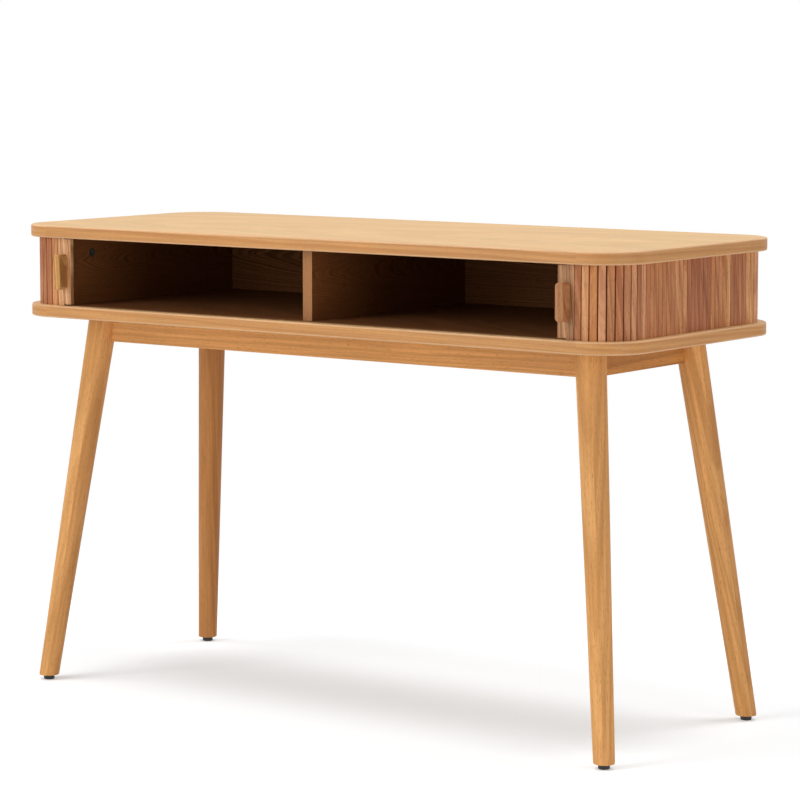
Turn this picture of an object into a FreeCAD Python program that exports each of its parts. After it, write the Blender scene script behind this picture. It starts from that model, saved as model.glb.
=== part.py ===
# Writing desk with two tambour doors: a rounded case on four splayed round legs.
import FreeCAD
import Part
import math
import os

Vector = FreeCAD.Vector
UP = Vector(0, 0, 1)
CENTRE = Vector(0, 0, 0)
SIDEWAYS = Vector(1, 0, 0)

# Case, in millimetres. +X is the desk's right, -Y its front, and z = 0 the floor.
desk_width = 1200.0
desk_depth = 485.0
desk_height = 774.0
panel_thickness = 20.0
corner_radius = 76.0
edge_round = 2.5
opening_height = 112.5

# Boards inside the case
inner_board = 15.0
divider_thickness = 18.0
back_board = 9.0
inner_side_inset = 105.0
board_front_setback = 33.5
back_panel_inset = 33.5

# Tambour curtains: slats on canvas, with their ends in tracks milled into both panels
curtain_inset = 14.0
slat_width = 10.9
slat_gap = 0.85
slat_thickness = 7.0
slat_chamfer = 0.8
canvas_thickness = 0.8
canvas_margin = 4.0
glue_line = 0.1
track_depth = 7.0
track_clearance = 0.5
slat_head_room = 0.6

# Leading stile of each curtain, and its pull
stile_width = 29.0
stile_thickness = 8.0
stile_reveal = 2.0
stile_notch_width = 15.0
stile_standoff = 4.0
stile_round = 1.0
tongue_gap = 0.3
door_meeting_gap = 2.0
handle_width = 15.0
handle_depth = 19.0
handle_height = 58.0
handle_corner = 6.0
handle_round = 2.5
handle_screw_spread = 30.0
handle_screw_length = 20.0
handle_screw_diameter = 3.5

# Legs and their frame
leg_top_diameter = 48.0
leg_foot_diameter = 33.0
leg_inset_x = 114.0
leg_inset_y = 100.0
leg_splay_x = 73.0
leg_splay_y = 68.0
foot_diameter = 18.0
foot_height = 8.0
foot_round = 1.6
apron_height = 45.0
apron_thickness = 20.0
apron_proud = 4.0
apron_round = 1.5
cope_gap = 0.2
block_leg = 60.0
block_nose = 12.0
block_height = 40.0

# Fasteners
fastener_gap = 0.05
dowel_diameter = 8.0
dowel_length = 36.0
dowel_edge = 9.0
bolt_diameter = 8.0
bolt_bury = 20.0
washer_diameter = 16.0
washer_thickness = 1.6
nut_across_flats = 13.0
nut_height = 6.5
bolt_tail = 3.0
cam_diameter = 15.0
cam_depth = 11.0
cam_drop = 28.0
cam_setback = 81.0
cam_bolt_diameter = 6.0
cam_bolt_bury = 11.0
screw_diameter = 4.0
screw_bite = 30.0
frame_screw_bite = 11.0
frame_screw_near = 12.0
frame_screw_far = 36.0
foot_screw_diameter = 3.5
foot_screw_length = 28.0
head_factor = 2.0

# Levels, from the floor up
case_floor = desk_height - 2 * panel_thickness - opening_height
opening_floor = case_floor + panel_thickness
opening_ceiling = opening_floor + opening_height
apron_floor = case_floor - apron_height

# Plan, from the middle of the desk
half_width = desk_width / 2
half_depth = desk_depth / 2
inner_side_face = half_width - inner_side_inset
board_front = -half_depth + board_front_setback
back_panel_face = half_depth - back_panel_inset

# The track is a ring that follows the panels' outline.
track_outer_inset = curtain_inset - track_clearance
track_inner_inset = curtain_inset + slat_thickness + track_clearance

# The line that the slats' backs follow, measured from the front's middle towards one side
slat_pitch = slat_width + slat_gap
line_inset = curtain_inset + slat_thickness
line_radius = corner_radius - line_inset
front_run = half_width - corner_radius
corner_run = line_radius * math.pi / 2
side_start = front_run + corner_run
rear_corner_start = side_start + desk_depth - 2 * corner_radius
back_start = rear_corner_start + corner_run

# A door travels a whole number of slats, from the middle to just before the corner.
stile_room = front_run - stile_standoff - stile_width - door_meeting_gap / 2
opening_slats = math.floor(stile_room / slat_pitch)
door_travel = opening_slats * slat_pitch
stile_lead = door_meeting_gap / 2 + door_travel
stile_trail = stile_lead + stile_width
first_slat = stile_trail + slat_gap + slat_width / 2
side_slats = math.ceil((back_start + slat_width / 2 - first_slat) / slat_pitch)

# Where the legs' axes meet the case and the feet
leg_top_x = half_width - leg_inset_x
leg_top_y = half_depth - leg_inset_y
apron_outer_x = leg_top_x + apron_proud
apron_outer_y = leg_top_y + apron_proud
apron_inner_x = apron_outer_x - apron_thickness
apron_inner_y = apron_outer_y - apron_thickness
apron_middle = apron_floor + apron_height / 2

CORNERS = {
    "front_left": (-1, -1),
    "front_right": (1, -1),
    "back_left": (-1, 1),
    "back_right": (1, 1),
}


def box(low, high):
    """A block between two opposite corners."""
    size = high - low
    return Part.makeBox(size.x, size.y, size.z, low)


def rod(diameter, start, end):
    """A round bar from one point to another."""
    run = end - start
    return Part.makeCylinder(diameter / 2, run.Length, start, run)


def edges_along(shape, axis):
    """The straight edges that run along one axis."""
    found = []
    for edge in shape.Edges:
        run = edge.Vertexes[-1].Point - edge.Vertexes[0].Point
        if run.Length > 0 and run.cross(axis).Length < 1e-6 * run.Length:
            found.append(edge)
    return found


def mirrored(shape):
    """The same piece on the desk's other side."""
    return shape.mirror(CENTRE, SIDEWAYS)


def screw(diameter, head, tip):
    """A countersunk screw: its head's face lies at head and its point at tip."""
    run = tip - head
    sink = (head_factor - 1) * diameter / 2
    cone = Part.makeCone(head_factor * diameter / 2, diameter / 2, sink, head, run)
    return cone.fuse(rod(diameter, head, tip)).removeSplitter()


def screw_hole(diameter, head, tip):
    """The room that such a screw needs."""
    return screw(diameter + 2 * fastener_gap, head, tip)


# Panels


def rounded_plate(inset, low, high):
    """A plate with the desk's outline, drawn in by an inset."""
    corner = Vector(half_width - inset, half_depth - inset, 0)
    plate = box(Vector(-corner.x, -corner.y, low), Vector(corner.x, corner.y, high))
    return plate.makeFillet(corner_radius - inset, edges_along(plate, UP))


def track(low, high):
    """The ring-shaped groove that guides the slats."""
    ring = rounded_plate(track_outer_inset, low, high)
    return ring.cut(rounded_plate(track_inner_inset, low, high))


def eased_panel(low):
    """A veneered panel with its edges eased all round."""
    panel = rounded_plate(0, low, low + panel_thickness)
    flat = [edge for edge in panel.Edges if edge.BoundBox.ZLength < 1e-6]
    return panel.makeFillet(edge_round, flat)


# The curtains' line


def line_point(distance, out=0.0, along=0.0):
    """A point beside the right curtain's line, out from it and along it."""
    if distance <= front_run:
        turn = 0.0
        place = Vector(distance, -half_depth + line_inset, 0)
    elif distance <= side_start:
        turn = (distance - front_run) / line_radius
        pivot = Vector(front_run, -half_depth + corner_radius, 0)
        place = pivot + Vector(math.sin(turn), -math.cos(turn), 0) * line_radius
    elif distance <= rear_corner_start:
        turn = math.pi / 2
        place = Vector(half_width - line_inset, -half_depth + corner_radius, 0)
        place.y += distance - side_start
    elif distance <= back_start:
        turn = math.pi / 2 + (distance - rear_corner_start) / line_radius
        pivot = Vector(front_run, half_depth - corner_radius, 0)
        place = pivot + Vector(math.sin(turn), -math.cos(turn), 0) * line_radius
    else:
        turn = math.pi
        place = Vector(front_run - distance + back_start, half_depth - line_inset, 0)
    outward = Vector(math.sin(turn), -math.cos(turn), 0)
    onward = Vector(math.cos(turn), math.sin(turn), 0)
    return place + outward * out + onward * along


def line_edges(start, end, out):
    """The curtain's line between two distances, shifted outwards."""
    stops = [front_run, side_start, rear_corner_start, back_start]
    inner = [stop for stop in stops if start < stop < end]
    edges = []
    for low, high in zip([start] + inner, inner + [end]):
        first = line_point(low, out)
        middle = line_point((low + high) / 2, out)
        last = line_point(high, out)
        if (middle - (first + last) / 2).Length < 1e-6:
            edges.append(Part.LineSegment(first, last).toShape())
        else:
            edges.append(Part.Arc(first, middle, last).toShape())
    return edges


def slat(index):
    """One slat: a strip with eased front edges, standing in both tracks."""
    half = slat_width / 2
    front = slat_thickness
    profile = [
        (-half, 0),
        (half, 0),
        (half, front - slat_chamfer),
        (half - slat_chamfer, front),
        (slat_chamfer - half, front),
        (-half, front - slat_chamfer),
    ]
    place = first_slat + index * slat_pitch
    points = [line_point(place, out, along) for along, out in profile]
    foot = Vector(0, 0, opening_floor - track_depth)
    outline = Part.makePolygon([point + foot for point in points + points[:1]])
    height = opening_height + 2 * track_depth - slat_head_room
    return Part.Face(outline).extrude(UP * height)


def slat_group(first, count):
    return Part.makeCompound([slat(first + step) for step in range(count)])


def canvas():
    """The cloth that the slats are glued to, in one strip behind them."""
    start = first_slat - slat_width / 2
    end = first_slat + (side_slats + opening_slats - 1) * slat_pitch + slat_width / 2
    near = line_edges(start, end, -glue_line)
    far = line_edges(start, end, -glue_line - canvas_thickness)
    near_ends = [line_point(start, -glue_line), line_point(end, -glue_line)]
    far_out = -glue_line - canvas_thickness
    far_ends = [line_point(start, far_out), line_point(end, far_out)]
    caps = [Part.makeLine(a, b) for a, b in zip(near_ends, far_ends)]
    outline = Part.Wire(Part.__sortEdges__(near + far + caps))
    strip = Part.Face(outline).extrude(UP * (opening_height - 2 * canvas_margin))
    strip.translate(UP * (opening_floor + canvas_margin))
    return strip


# Stile and pull of the right door

stile_front = -half_depth + curtain_inset
stile_back = stile_front + stile_thickness
stile_middle = stile_lead + stile_width / 2
opening_middle = opening_floor + opening_height / 2
handle_screw_levels = [
    opening_middle - handle_screw_spread / 2,
    opening_middle + handle_screw_spread / 2,
]


def handle_screw_line(level):
    head = Vector(stile_middle, stile_back, level)
    return head, head - Vector(0, handle_screw_length, 0)


def stile():
    """The stout leading slat: its rear half has tongues that run in the tracks."""
    blade = box(
        Vector(stile_lead, stile_front, opening_floor + stile_reveal),
        Vector(stile_trail, stile_back, opening_ceiling - stile_reveal),
    )
    blade = blade.makeFillet(stile_round, edges_along(blade, UP))
    tongue_front = stile_front + tongue_gap
    tongue_back = -half_depth + track_inner_inset - track_clearance
    tongue = box(
        Vector(stile_lead + stile_notch_width, tongue_front, opening_floor - track_depth + tongue_gap),
        Vector(stile_trail - stile_round, tongue_back, opening_ceiling + track_depth - slat_head_room),
    )
    solid = blade.fuse(tongue).removeSplitter()
    for level in handle_screw_levels:
        solid = solid.cut(screw_hole(handle_screw_diameter, *handle_screw_line(level)))
    return solid


def handle():
    """A wooden block with round corners, drilled from behind."""
    low = Vector(stile_middle - handle_width / 2, stile_front - handle_depth, 0)
    low.z = opening_middle - handle_height / 2
    block = box(low, low + Vector(handle_width, handle_depth, handle_height))
    block = block.makeFillet(handle_corner, edges_along(block, Vector(0, 1, 0)))
    face = [edge for edge in block.Edges if edge.BoundBox.YMax < low.y + 1e-3]
    block = block.makeFillet(handle_round, face)
    for level in handle_screw_levels:
        block = block.cut(screw_hole(handle_screw_diameter, *handle_screw_line(level)))
    return block


def handle_screws():
    screws = [screw(handle_screw_diameter, *handle_screw_line(level)) for level in handle_screw_levels]
    return Part.makeCompound(screws)


# Legs, feet and frame


def leg_axis(corner, level):
    """Where a leg's axis passes a level."""
    drop = (case_floor - level) / (case_floor - foot_height)
    along_x = leg_top_x + leg_splay_x * drop
    along_y = leg_top_y + leg_splay_y * drop
    return Vector(corner[0] * along_x, corner[1] * along_y, level)


def leg_blank(corner, extra=0.0):
    """A tapered round bar along the splayed axis, sawn level at both ends."""
    spare = leg_top_diameter
    top = leg_axis(corner, case_floor + spare)
    bottom = leg_axis(corner, foot_height - spare)
    slope = (leg_top_diameter - leg_foot_diameter) / 2 / (case_floor - foot_height)
    bottom_radius = leg_foot_diameter / 2 - slope * spare + extra
    top_radius = leg_top_diameter / 2 + slope * spare + extra
    run = top - bottom
    cone = Part.makeCone(bottom_radius, top_radius, run.Length, bottom, run)
    reach = Vector(desk_width, desk_depth, 0)
    slab = box(Vector(0, 0, foot_height) - reach, Vector(0, 0, case_floor) + reach)
    return cone.common(slab)


def front_dowel(corner):
    """A dowel between a long apron and a leg."""
    middle = apron_outer_y - apron_thickness / 2
    place = Vector(0, corner[1] * middle, apron_floor + dowel_edge)
    reach = leg_axis(corner, place.z).x
    end = place + Vector(reach, 0, 0)
    return end - Vector(corner[0] * dowel_length, 0, 0), end


def side_dowel(corner):
    """A dowel between a short apron and a leg."""
    middle = apron_outer_x - apron_thickness / 2
    place = Vector(corner[0] * middle, 0, case_floor - dowel_edge)
    reach = leg_axis(corner, place.z).y
    end = place + Vector(0, reach, 0)
    return end - Vector(0, corner[1] * dowel_length, 0), end


def dowel_holes(corner):
    width = dowel_diameter + 2 * fastener_gap
    return [rod(width, *front_dowel(corner)), rod(width, *side_dowel(corner))]


def bolt_line(corner):
    """The hanger bolt runs level, at 45 degrees, from the block's face into the leg."""
    outward = Vector(corner[0], corner[1], 0) / math.sqrt(2)
    axis = leg_axis(corner, apron_middle)
    reach = (block_leg + block_nose) / 2
    heel = Vector(corner[0] * (apron_inner_x - reach), corner[1] * (apron_inner_y - reach), 0)
    seat = axis - outward * (outward.dot(axis) - outward.dot(heel))
    return seat, outward


def bolt_ends(corner):
    seat, outward = bolt_line(corner)
    axis = leg_axis(corner, apron_middle)
    tail = seat - outward * (washer_thickness + nut_height + bolt_tail)
    tip = axis - outward * (leg_top_diameter / 2 - bolt_bury)
    return tail, tip


def bolt_hole(corner):
    return rod(bolt_diameter + 2 * fastener_gap, *bolt_ends(corner))


def foot_screw_line(corner):
    head = leg_axis(corner, foot_height)
    head.z = foot_height / 2
    return head, head + UP * foot_screw_length


def leg(corner):
    solid = leg_blank(corner)
    holes = dowel_holes(corner) + [bolt_hole(corner)]
    holes.append(screw_hole(foot_screw_diameter, *foot_screw_line(corner)))
    return solid.cut(Part.makeCompound(holes))


def foot(corner):
    """A round plastic glide with a rounded sole, screwed under the leg."""
    place = leg_axis(corner, 0)
    centre = leg_axis(corner, foot_height)
    place.x = centre.x
    place.y = centre.y
    disc = Part.makeCylinder(foot_diameter / 2, foot_height, place)
    sole = [edge for edge in disc.Edges if edge.BoundBox.ZMax < 1e-6]
    disc = disc.makeFillet(foot_round, sole)
    head, tip = foot_screw_line(corner)
    well = rod(head_factor * foot_screw_diameter + 2 * fastener_gap, place, head)
    return disc.cut(screw_hole(foot_screw_diameter, head, tip).fuse(well))


def apron(low, high, axis, corners):
    """A rail coped to the legs at both ends, with its lower edges eased."""
    rail = box(low, high)
    lower = [edge for edge in edges_along(rail, axis) if edge.BoundBox.ZMax < low.z + 1e-6]
    rail = rail.makeFillet(apron_round, lower)
    for corner in corners:
        rail = rail.cut(leg_blank(corner, cope_gap))
        rail = rail.cut(Part.makeCompound(dowel_holes(corner) + [bolt_hole(corner)]))
    return rail


def long_apron(side):
    spans = sorted([side * apron_inner_y, side * apron_outer_y])
    corners = [corner for corner in CORNERS.values() if corner[1] == side]
    low = Vector(-leg_top_x, spans[0], apron_floor)
    high = Vector(leg_top_x, spans[1], case_floor)
    return apron(low, high, SIDEWAYS, corners)


def short_apron(side):
    spans = sorted([side * apron_inner_x, side * apron_outer_x])
    corners = [corner for corner in CORNERS.values() if corner[0] == side]
    low = Vector(spans[0], -apron_inner_y, apron_floor)
    high = Vector(spans[1], apron_inner_y, case_floor)
    return apron(low, high, Vector(0, 1, 0), corners)


def frame_screw_lines(corner):
    """Two screws rise through each corner block into the bottom panel."""
    lines = []
    for step_x, step_y in ((frame_screw_far, frame_screw_near), (frame_screw_near, frame_screw_far)):
        head = Vector(corner[0] * (apron_inner_x - step_x), corner[1] * (apron_inner_y - step_y), 0)
        head.z = case_floor - block_height
        tip = head + UP * (block_height + frame_screw_bite)
        lines.append((head, tip))
    return lines


def corner_block(corner):
    """A hardwood block glued into the frame's corner behind the leg."""
    plan = [
        (0, 0),
        (block_leg, 0),
        (block_leg, block_nose),
        (block_nose, block_leg),
        (0, block_leg),
    ]
    low = case_floor - block_height
    points = [Vector(corner[0] * (apron_inner_x - x), corner[1] * (apron_inner_y - y), low) for x, y in plan]
    block = Part.Face(Part.makePolygon(points + points[:1])).extrude(UP * block_height)
    block = block.cut(leg_blank(corner, cope_gap)).cut(bolt_hole(corner))
    for line in frame_screw_lines(corner):
        block = block.cut(screw_hole(screw_diameter, *line))
    return block


def washer(corner):
    seat, outward = bolt_line(corner)
    disc = Part.makeCylinder(washer_diameter / 2, washer_thickness, seat, -outward)
    return disc.cut(bolt_hole(corner))


def nut(corner):
    seat, outward = bolt_line(corner)
    start = seat - outward * washer_thickness
    side = Vector(-outward.y, outward.x, 0)
    reach = nut_across_flats / math.sqrt(3)
    points = []
    for step in range(7):
        angle = step * math.pi / 3
        points.append(start + (side * math.cos(angle) + UP * math.sin(angle)) * reach)
    prism = Part.Face(Part.makePolygon(points)).extrude(-outward * nut_height)
    return prism.cut(bolt_hole(corner))


# Boards inside the case, and what holds them

cam_level = opening_ceiling - cam_drop
side_board_middle = inner_side_face + inner_board / 2
back_board_middle = back_panel_face + back_board / 2
cam_rows = [-half_depth + cam_setback, back_panel_face - cam_setback / 2]
screw_rows = [cam_rows[0], 0.0, cam_rows[1]]
back_stations = [-inner_side_face / 2, inner_side_face / 2]


def cam_places():
    """Each cam lock: the middle of its visible face, and the way into its board."""
    places = []
    for row in cam_rows:
        for side in (-1, 1):
            face = Vector(side * inner_side_face, row, cam_level)
            places.append((face, Vector(side, 0, 0), inner_board))
        places.append((Vector(-divider_thickness / 2, row, cam_level), SIDEWAYS, divider_thickness))
    return places


def cam_bolt_line(place):
    face, inward, thickness = place
    foot_point = face + inward * (thickness / 2)
    top_point = Vector(foot_point.x, foot_point.y, opening_ceiling + cam_bolt_bury)
    return foot_point, top_point


def cam_bolt_hole(place):
    return rod(cam_bolt_diameter + 2 * fastener_gap, *cam_bolt_line(place))


def cam_well(place):
    face, inward, thickness = place
    return rod(cam_diameter + 2 * fastener_gap, face, face + inward * cam_depth)


def cam_lock(place):
    face, inward, thickness = place
    return rod(cam_diameter, face, face + inward * cam_depth).cut(cam_bolt_hole(place))


def cam_bolt(place):
    return rod(cam_bolt_diameter, *cam_bolt_line(place))


def carcass_screw_lines():
    """Screws rise through the bottom panel into the boards' lower edges."""
    feet = []
    for row in screw_rows:
        feet += [Vector(side * side_board_middle, row, case_floor) for side in (-1, 0, 1)]
    feet += [Vector(station, back_board_middle, case_floor) for station in back_stations]
    return [(head, head + UP * (panel_thickness + screw_bite)) for head in feet]


CAMS = cam_places()
CAM_HOLES = Part.makeCompound([cam_well(place) for place in CAMS] + [cam_bolt_hole(place) for place in CAMS])
CARCASS_HOLES = Part.makeCompound([screw_hole(screw_diameter, *line) for line in carcass_screw_lines()])


def board(low, high):
    return box(low, high).cut(CAM_HOLES).cut(CARCASS_HOLES)


def inner_side(side):
    spans = sorted([side * inner_side_face, side * (inner_side_face + inner_board)])
    rear = back_panel_face + back_board
    return board(Vector(spans[0], board_front, opening_floor), Vector(spans[1], rear, opening_ceiling))


def divider():
    half = divider_thickness / 2
    low = Vector(-half, board_front, opening_floor)
    return board(low, Vector(half, back_panel_face, opening_ceiling))


def back_panel():
    low = Vector(-inner_side_face, back_panel_face, opening_floor)
    high = Vector(inner_side_face, back_panel_face + back_board, opening_ceiling)
    return board(low, high)


def top_panel():
    panel = eased_panel(opening_ceiling).cut(track(opening_ceiling, opening_ceiling + track_depth))
    return panel.cut(CAM_HOLES)


def bottom_panel():
    panel = eased_panel(case_floor).cut(track(opening_floor - track_depth, opening_floor))
    panel = panel.cut(CARCASS_HOLES)
    for corner in CORNERS.values():
        for line in frame_screw_lines(corner):
            panel = panel.cut(screw_hole(screw_diameter, *line))
    return panel


# Every piece under its own name
pieces = {
    "top_panel": top_panel(),
    "bottom_panel": bottom_panel(),
    "left_inner_side": inner_side(-1),
    "right_inner_side": inner_side(1),
    "centre_divider": divider(),
    "back_panel": back_panel(),
    "front_apron": long_apron(-1),
    "back_apron": long_apron(1),
    "left_apron": short_apron(-1),
    "right_apron": short_apron(1),
}

door = {
    "side_slats": slat_group(0, side_slats),
    "tail_slats": slat_group(side_slats, opening_slats),
    "canvas": canvas(),
    "stile": stile(),
    "handle": handle(),
    "handle_screws": handle_screws(),
}
for name, shape in door.items():
    pieces["right_" + name] = shape
    pieces["left_" + name] = mirrored(shape)

for name, corner in CORNERS.items():
    pieces[name + "_leg"] = leg(corner)
    pieces[name + "_foot"] = foot(corner)
    pieces[name + "_corner_block"] = corner_block(corner)

corners = list(CORNERS.values())
fasteners = {
    "foot_screws": [screw(foot_screw_diameter, *foot_screw_line(corner)) for corner in corners],
    "leg_bolts": [rod(bolt_diameter, *bolt_ends(corner)) for corner in corners],
    "leg_washers": [washer(corner) for corner in corners],
    "leg_nuts": [nut(corner) for corner in corners],
    "apron_dowels": [
        rod(dowel_diameter, *line(corner)) for corner in corners for line in (front_dowel, side_dowel)
    ],
    "frame_screws": [
        screw(screw_diameter, *line) for corner in corners for line in frame_screw_lines(corner)
    ],
    "carcass_screws": [screw(screw_diameter, *line) for line in carcass_screw_lines()],
    "cam_locks": [cam_lock(place) for place in CAMS],
    "cam_bolts": [cam_bolt(place) for place in CAMS],
}
for name, solids in fasteners.items():
    pieces[name] = Part.makeCompound(solids)

os.makedirs("parts", exist_ok=True)
for name, shape in pieces.items():
    shape.exportStep("parts/" + name + ".step")

print("nodes", len(pieces))
print("door travel", round(door_travel, 3), "slats per door", side_slats + opening_slats)
print("stile leading edge, open", round(stile_lead, 3))
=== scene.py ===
import math
import random

import bmesh
import bpy
from mathutils import Matrix, Vector


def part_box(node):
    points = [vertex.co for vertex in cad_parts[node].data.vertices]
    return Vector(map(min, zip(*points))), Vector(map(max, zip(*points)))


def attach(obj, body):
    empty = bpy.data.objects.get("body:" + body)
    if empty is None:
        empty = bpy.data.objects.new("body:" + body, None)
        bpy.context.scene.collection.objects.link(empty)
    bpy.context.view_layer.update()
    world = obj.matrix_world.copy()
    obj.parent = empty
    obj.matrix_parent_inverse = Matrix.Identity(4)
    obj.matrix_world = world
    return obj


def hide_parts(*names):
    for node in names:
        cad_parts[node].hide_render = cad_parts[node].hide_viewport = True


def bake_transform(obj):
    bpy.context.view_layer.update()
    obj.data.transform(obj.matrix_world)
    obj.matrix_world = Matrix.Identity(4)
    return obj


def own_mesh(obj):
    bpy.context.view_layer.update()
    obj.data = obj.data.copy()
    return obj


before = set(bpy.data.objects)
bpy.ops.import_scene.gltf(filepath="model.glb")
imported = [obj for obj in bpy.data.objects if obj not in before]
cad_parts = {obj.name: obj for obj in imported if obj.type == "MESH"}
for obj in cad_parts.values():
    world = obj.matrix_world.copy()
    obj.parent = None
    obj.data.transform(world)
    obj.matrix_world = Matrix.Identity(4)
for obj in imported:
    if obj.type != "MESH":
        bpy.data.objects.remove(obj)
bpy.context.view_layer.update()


# Aprons and corner blocks: four planed rubberwood rails under the case, coped to the legs and dowelled,
# with a sawn block glued and screwed into each corner. All metres, on the frame's own axes.
def linear(code):
    """The linear colour of an sRGB hex value."""
    shares = [int(code[start:start + 2], 16) / 255 for start in (1, 3, 5)]
    return [c / 12.92 if c <= 0.04045 else ((c + 0.055) / 1.055) ** 2.4 for c in shares] + [1.0]


def add_node(tree, kind, sockets, **settings):
    """A node with its settings; each socket gets a value or a link."""
    node = tree.nodes.new(kind)
    for name, value in settings.items():
        setattr(node, name, value)
    for socket, value in sockets.items():
        if isinstance(value, bpy.types.NodeSocket):
            tree.links.new(value, node.inputs[socket])
        else:
            node.inputs[socket].default_value = value
    return node


def bare_finish(name):
    """A new material whose node tree is empty."""
    finish = bpy.data.materials.new(name)
    finish.use_nodes = True
    finish.node_tree.nodes.clear()
    return finish


def wood(
    name, light, dark, pore, ring, pith, figure, streak, roughness, gloss=0.35, turn=None, shift=(0, 0, 0)
):
    """Lacquered wood with its grain along X: growth rings that the saw cut at a distance from the pith,
    streaks, and short dark pores. A turn reads the piece's own axes, turned that way; without one, its
    place in the plank is read. Where light is a row of tones, each board has its own, and dark shades it."""
    finish = bare_finish(name)
    tree = finish.node_tree
    if turn is None:
        source = add_node(tree, "ShaderNodeAttribute", {}, attribute_name="grain").outputs["Vector"]
    else:
        place = add_node(tree, "ShaderNodeTexCoord", {}).outputs["Object"]
        sockets = {"Vector": place, "Rotation": turn, "Location": shift}
        source = add_node(tree, "ShaderNodeMapping", sockets).outputs["Vector"]

    # Growth rings: shells round the pith, which lies a little askew to the board and wanders.
    pith_tilt = (0.0, math.radians(3.5), math.radians(1.0))
    wander_along = 0.42
    wander_across = 0.06
    wander_reach = 0.014
    late_starts = 0.36
    late_full = 0.66
    wander_size = (1 / wander_along, 1 / wander_across, 1 / wander_across)
    stretched = add_node(tree, "ShaderNodeMapping", {"Vector": source, "Scale": wander_size})
    wander = add_node(
        tree, "ShaderNodeTexNoise",
        {"Vector": stretched.outputs["Vector"], "Scale": 1.0, "Detail": 3.0, "Roughness": 0.5},
    )
    log = add_node(
        tree, "ShaderNodeMapping",
        {"Vector": source, "Location": (0.0, pith / 3, pith), "Rotation": pith_tilt},
    )
    section = add_node(
        tree, "ShaderNodeVectorMath",
        {0: log.outputs["Vector"], 1: (0.0, 1.0, 1.0)}, operation="MULTIPLY",
    )
    depth = add_node(
        tree, "ShaderNodeVectorMath", {0: section.outputs["Vector"]}, operation="LENGTH"
    )
    wandering = add_node(
        tree, "ShaderNodeMath",
        {0: wander.outputs["Fac"], 1: wander_reach, 2: depth.outputs["Value"]}, operation="MULTIPLY_ADD",
    )
    years = add_node(
        tree, "ShaderNodeTexNoise",
        {"W": wandering.outputs[0], "Scale": 1 / ring, "Detail": 3.0, "Roughness": 0.6},
        noise_dimensions="1D",
    )
    late = add_node(
        tree, "ShaderNodeMapRange",
        {"Value": years.outputs["Fac"], "From Min": late_starts, "From Max": late_full, "To Max": figure},
        interpolation_type="SMOOTHSTEP",
    )
    if isinstance(light, str):
        early_wood = linear(light)
        late_wood = linear(dark)
    else:
        tone = add_node(tree, "ShaderNodeAttribute", {}, attribute_name="tone")
        boards = add_node(tree, "ShaderNodeValToRGB", {"Fac": tone.outputs["Fac"]})
        stops = boards.color_ramp.elements
        for step, code in enumerate(light):
            stop = stops[step] if step < len(stops) else stops.new(1.0)
            stop.color = linear(code)
        for step, stop in enumerate(stops):
            stop.position = step / (len(light) - 1)
        early_wood = boards.outputs["Color"]
        shaded = add_node(
            tree, "ShaderNodeMix", {0: 1.0, 6: early_wood, 7: linear(dark)}, data_type="RGBA",
            blend_type="MULTIPLY",
        )
        late_wood = shaded.outputs[2]
    rings = add_node(
        tree, "ShaderNodeMix", {0: late.outputs["Result"], 6: early_wood, 7: late_wood}, data_type="RGBA"
    )

    # Streaks a few millimetres wide, over broad cloudy patches
    streak_along = 0.14
    streak_across = 0.0045
    bright_share = 0.6
    patch_swing = 0.06
    noise_low = 0.3
    noise_high = 0.7
    streak_size = (1 / streak_along, 1 / streak_across, 1 / streak_across)
    streak_place = add_node(tree, "ShaderNodeMapping", {"Vector": source, "Scale": streak_size})
    streaks = add_node(
        tree, "ShaderNodeTexNoise",
        {"Vector": streak_place.outputs["Vector"], "Scale": 1.0, "Detail": 4.0, "Roughness": 0.6},
    )
    patch = add_node(
        tree, "ShaderNodeMapRange",
        {
            "Value": wander.outputs["Fac"], "From Min": noise_low, "From Max": noise_high,
            "To Min": 1 - patch_swing, "To Max": 1 + patch_swing,
        },
    )
    value = add_node(
        tree, "ShaderNodeMapRange",
        {
            "Value": streaks.outputs["Fac"], "From Min": noise_low, "From Max": noise_high,
            "To Min": 1 - streak, "To Max": 1 + bright_share * streak,
        },
    )
    shade = add_node(
        tree, "ShaderNodeMath", {0: value.outputs["Result"], 1: patch.outputs["Result"]}, operation="MULTIPLY"
    )
    streaked = add_node(
        tree, "ShaderNodeHueSaturation", {"Color": rings.outputs[2], "Value": shade.outputs[0]}
    )

    # Open pores: short dark dashes along the grain, drawn a few times wider than real ones so that they show
    pore_length = 0.009
    pore_width = 0.0009
    pore_starts = 0.6
    pore_full = 0.74
    pore_dark = 0.7
    pore_depth = 0.0003
    satin_swing = 0.06
    pore_size = (1 / pore_length, 1 / pore_width, 1 / pore_width)
    pore_place = add_node(tree, "ShaderNodeMapping", {"Vector": source, "Scale": pore_size})
    pores = add_node(
        tree, "ShaderNodeTexNoise",
        {"Vector": pore_place.outputs["Vector"], "Scale": 1.0, "Detail": 1.0},
    )
    dashes = add_node(
        tree, "ShaderNodeMapRange",
        {"Value": pores.outputs["Fac"], "From Min": pore_starts, "From Max": pore_full, "To Max": pore_dark},
    )
    pored = add_node(
        tree, "ShaderNodeMix",
        {0: dashes.outputs["Result"], 6: streaked.outputs["Color"], 7: linear(pore)}, data_type="RGBA",
    )
    relief = add_node(
        tree, "ShaderNodeBump",
        {"Height": dashes.outputs["Result"], "Strength": 0.25, "Distance": pore_depth}, invert=True,
    )
    satin = add_node(
        tree, "ShaderNodeMapRange",
        {
            "Value": streaks.outputs["Fac"],
            "To Min": roughness - satin_swing, "To Max": roughness + satin_swing,
        },
    )
    shader = add_node(
        tree, "ShaderNodeBsdfPrincipled",
        {
            "Base Color": pored.outputs[2],
            "Roughness": satin.outputs["Result"],
            "Normal": relief.outputs["Normal"],
            "Specular IOR Level": gloss,
        },
    )
    add_node(tree, "ShaderNodeOutputMaterial", {"Surface": shader.outputs["BSDF"]})
    return finish


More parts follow.
